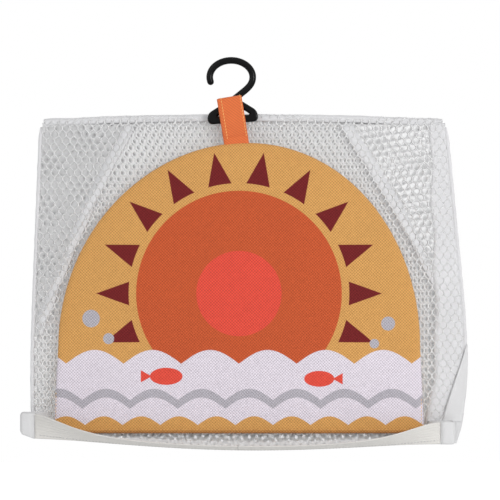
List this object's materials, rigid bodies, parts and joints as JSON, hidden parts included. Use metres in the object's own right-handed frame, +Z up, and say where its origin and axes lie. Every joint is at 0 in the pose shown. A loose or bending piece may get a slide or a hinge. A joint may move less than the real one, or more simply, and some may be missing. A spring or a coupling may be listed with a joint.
{
  "type": "bath toy organizer",
  "caption": "Hanging bath toy organizer: a padded dome panel on a hook and tape loop, with a gusseted net bag folded flat behind it and a stiff webbing band round the bag's mouth.",
  "frame": {"origin": "the hook's seat: the inner top of its ring, where it hangs on a rail", "axes": "+Z up as it hangs, +X to the right seen from the front, the front of the panel towards -Y"},
  "size_m": [0.3584, 0.0382, 0.314],
  "materials": {
    "hook": "moulded, glossy",
    "strap": "twill tape",
    "face": "printed oxford weave",
    "foam": "foam sheet",
    "net": "knitted net",
    "tape": "woven binding",
    "webbing": "ribbed webbing"
  },
  "bodies": {
    "hanger": {"hanger_hook": "hook"},
    "strap": {"hanging_strap": "strap"},
    "panel": {"face_cover_front": "face", "face_padding": "foam", "face_cover_back": "face", "panel_hem_tape": "tape", "strap_sewn_end": "strap", "band_end_left": "tape", "band_end_right": "tape", "front_net_turn": "net"},
    "band": {"mouth_band": "webbing"},
    "bag": {"back_net_wall": "net", "gusset_left_inner_leaf": "net", "gusset_right_inner_leaf": "net", "gusset_left_fold": "net", "gusset_right_fold": "net", "side_seam_left_back": "net", "side_seam_right_back": "net", "bag_bottom_fold": "net", "side_tape_right": "tape"},
    "bag_front": {"front_net_wall": "net", "gusset_left_outer_leaf": "net", "gusset_right_outer_leaf": "net", "side_seam_left_front": "net", "side_seam_right_front": "net"}
  },
  "joints": [
    {"name": "strap_swing", "type": "hinge", "parent": "hanger", "child": "strap", "pos_m": [0, 0, -0.0443], "axis": [1, 0, 0], "range_deg": [-1, 25]},
    {"name": "panel_tilt", "type": "hinge", "parent": "strap", "child": "panel", "pos_m": [0, 0, -0.0594], "axis": [1, 0, 0], "range_deg": [-45, 0]},
    {"name": "bag_unfold", "type": "hinge", "parent": "panel", "child": "bag", "pos_m": [0, 0.002, -0.2982], "axis": [-1, 0, 0], "range_deg": [0, 180], "deforming": ["front_net_turn"]},
    {"name": "bag_spread", "type": "hinge", "parent": "bag", "child": "bag_front", "pos_m": [0, 0.0146, -0.3276], "axis": [-1, 0, 0], "range_deg": [0, 8]},
    {"name": "mouth_open", "type": "hinge", "parent": "panel", "child": "band", "pos_m": [0, -0.0082, -0.2807], "axis": [-1, 0, 0], "range_deg": [0, 80]}
  ]
}
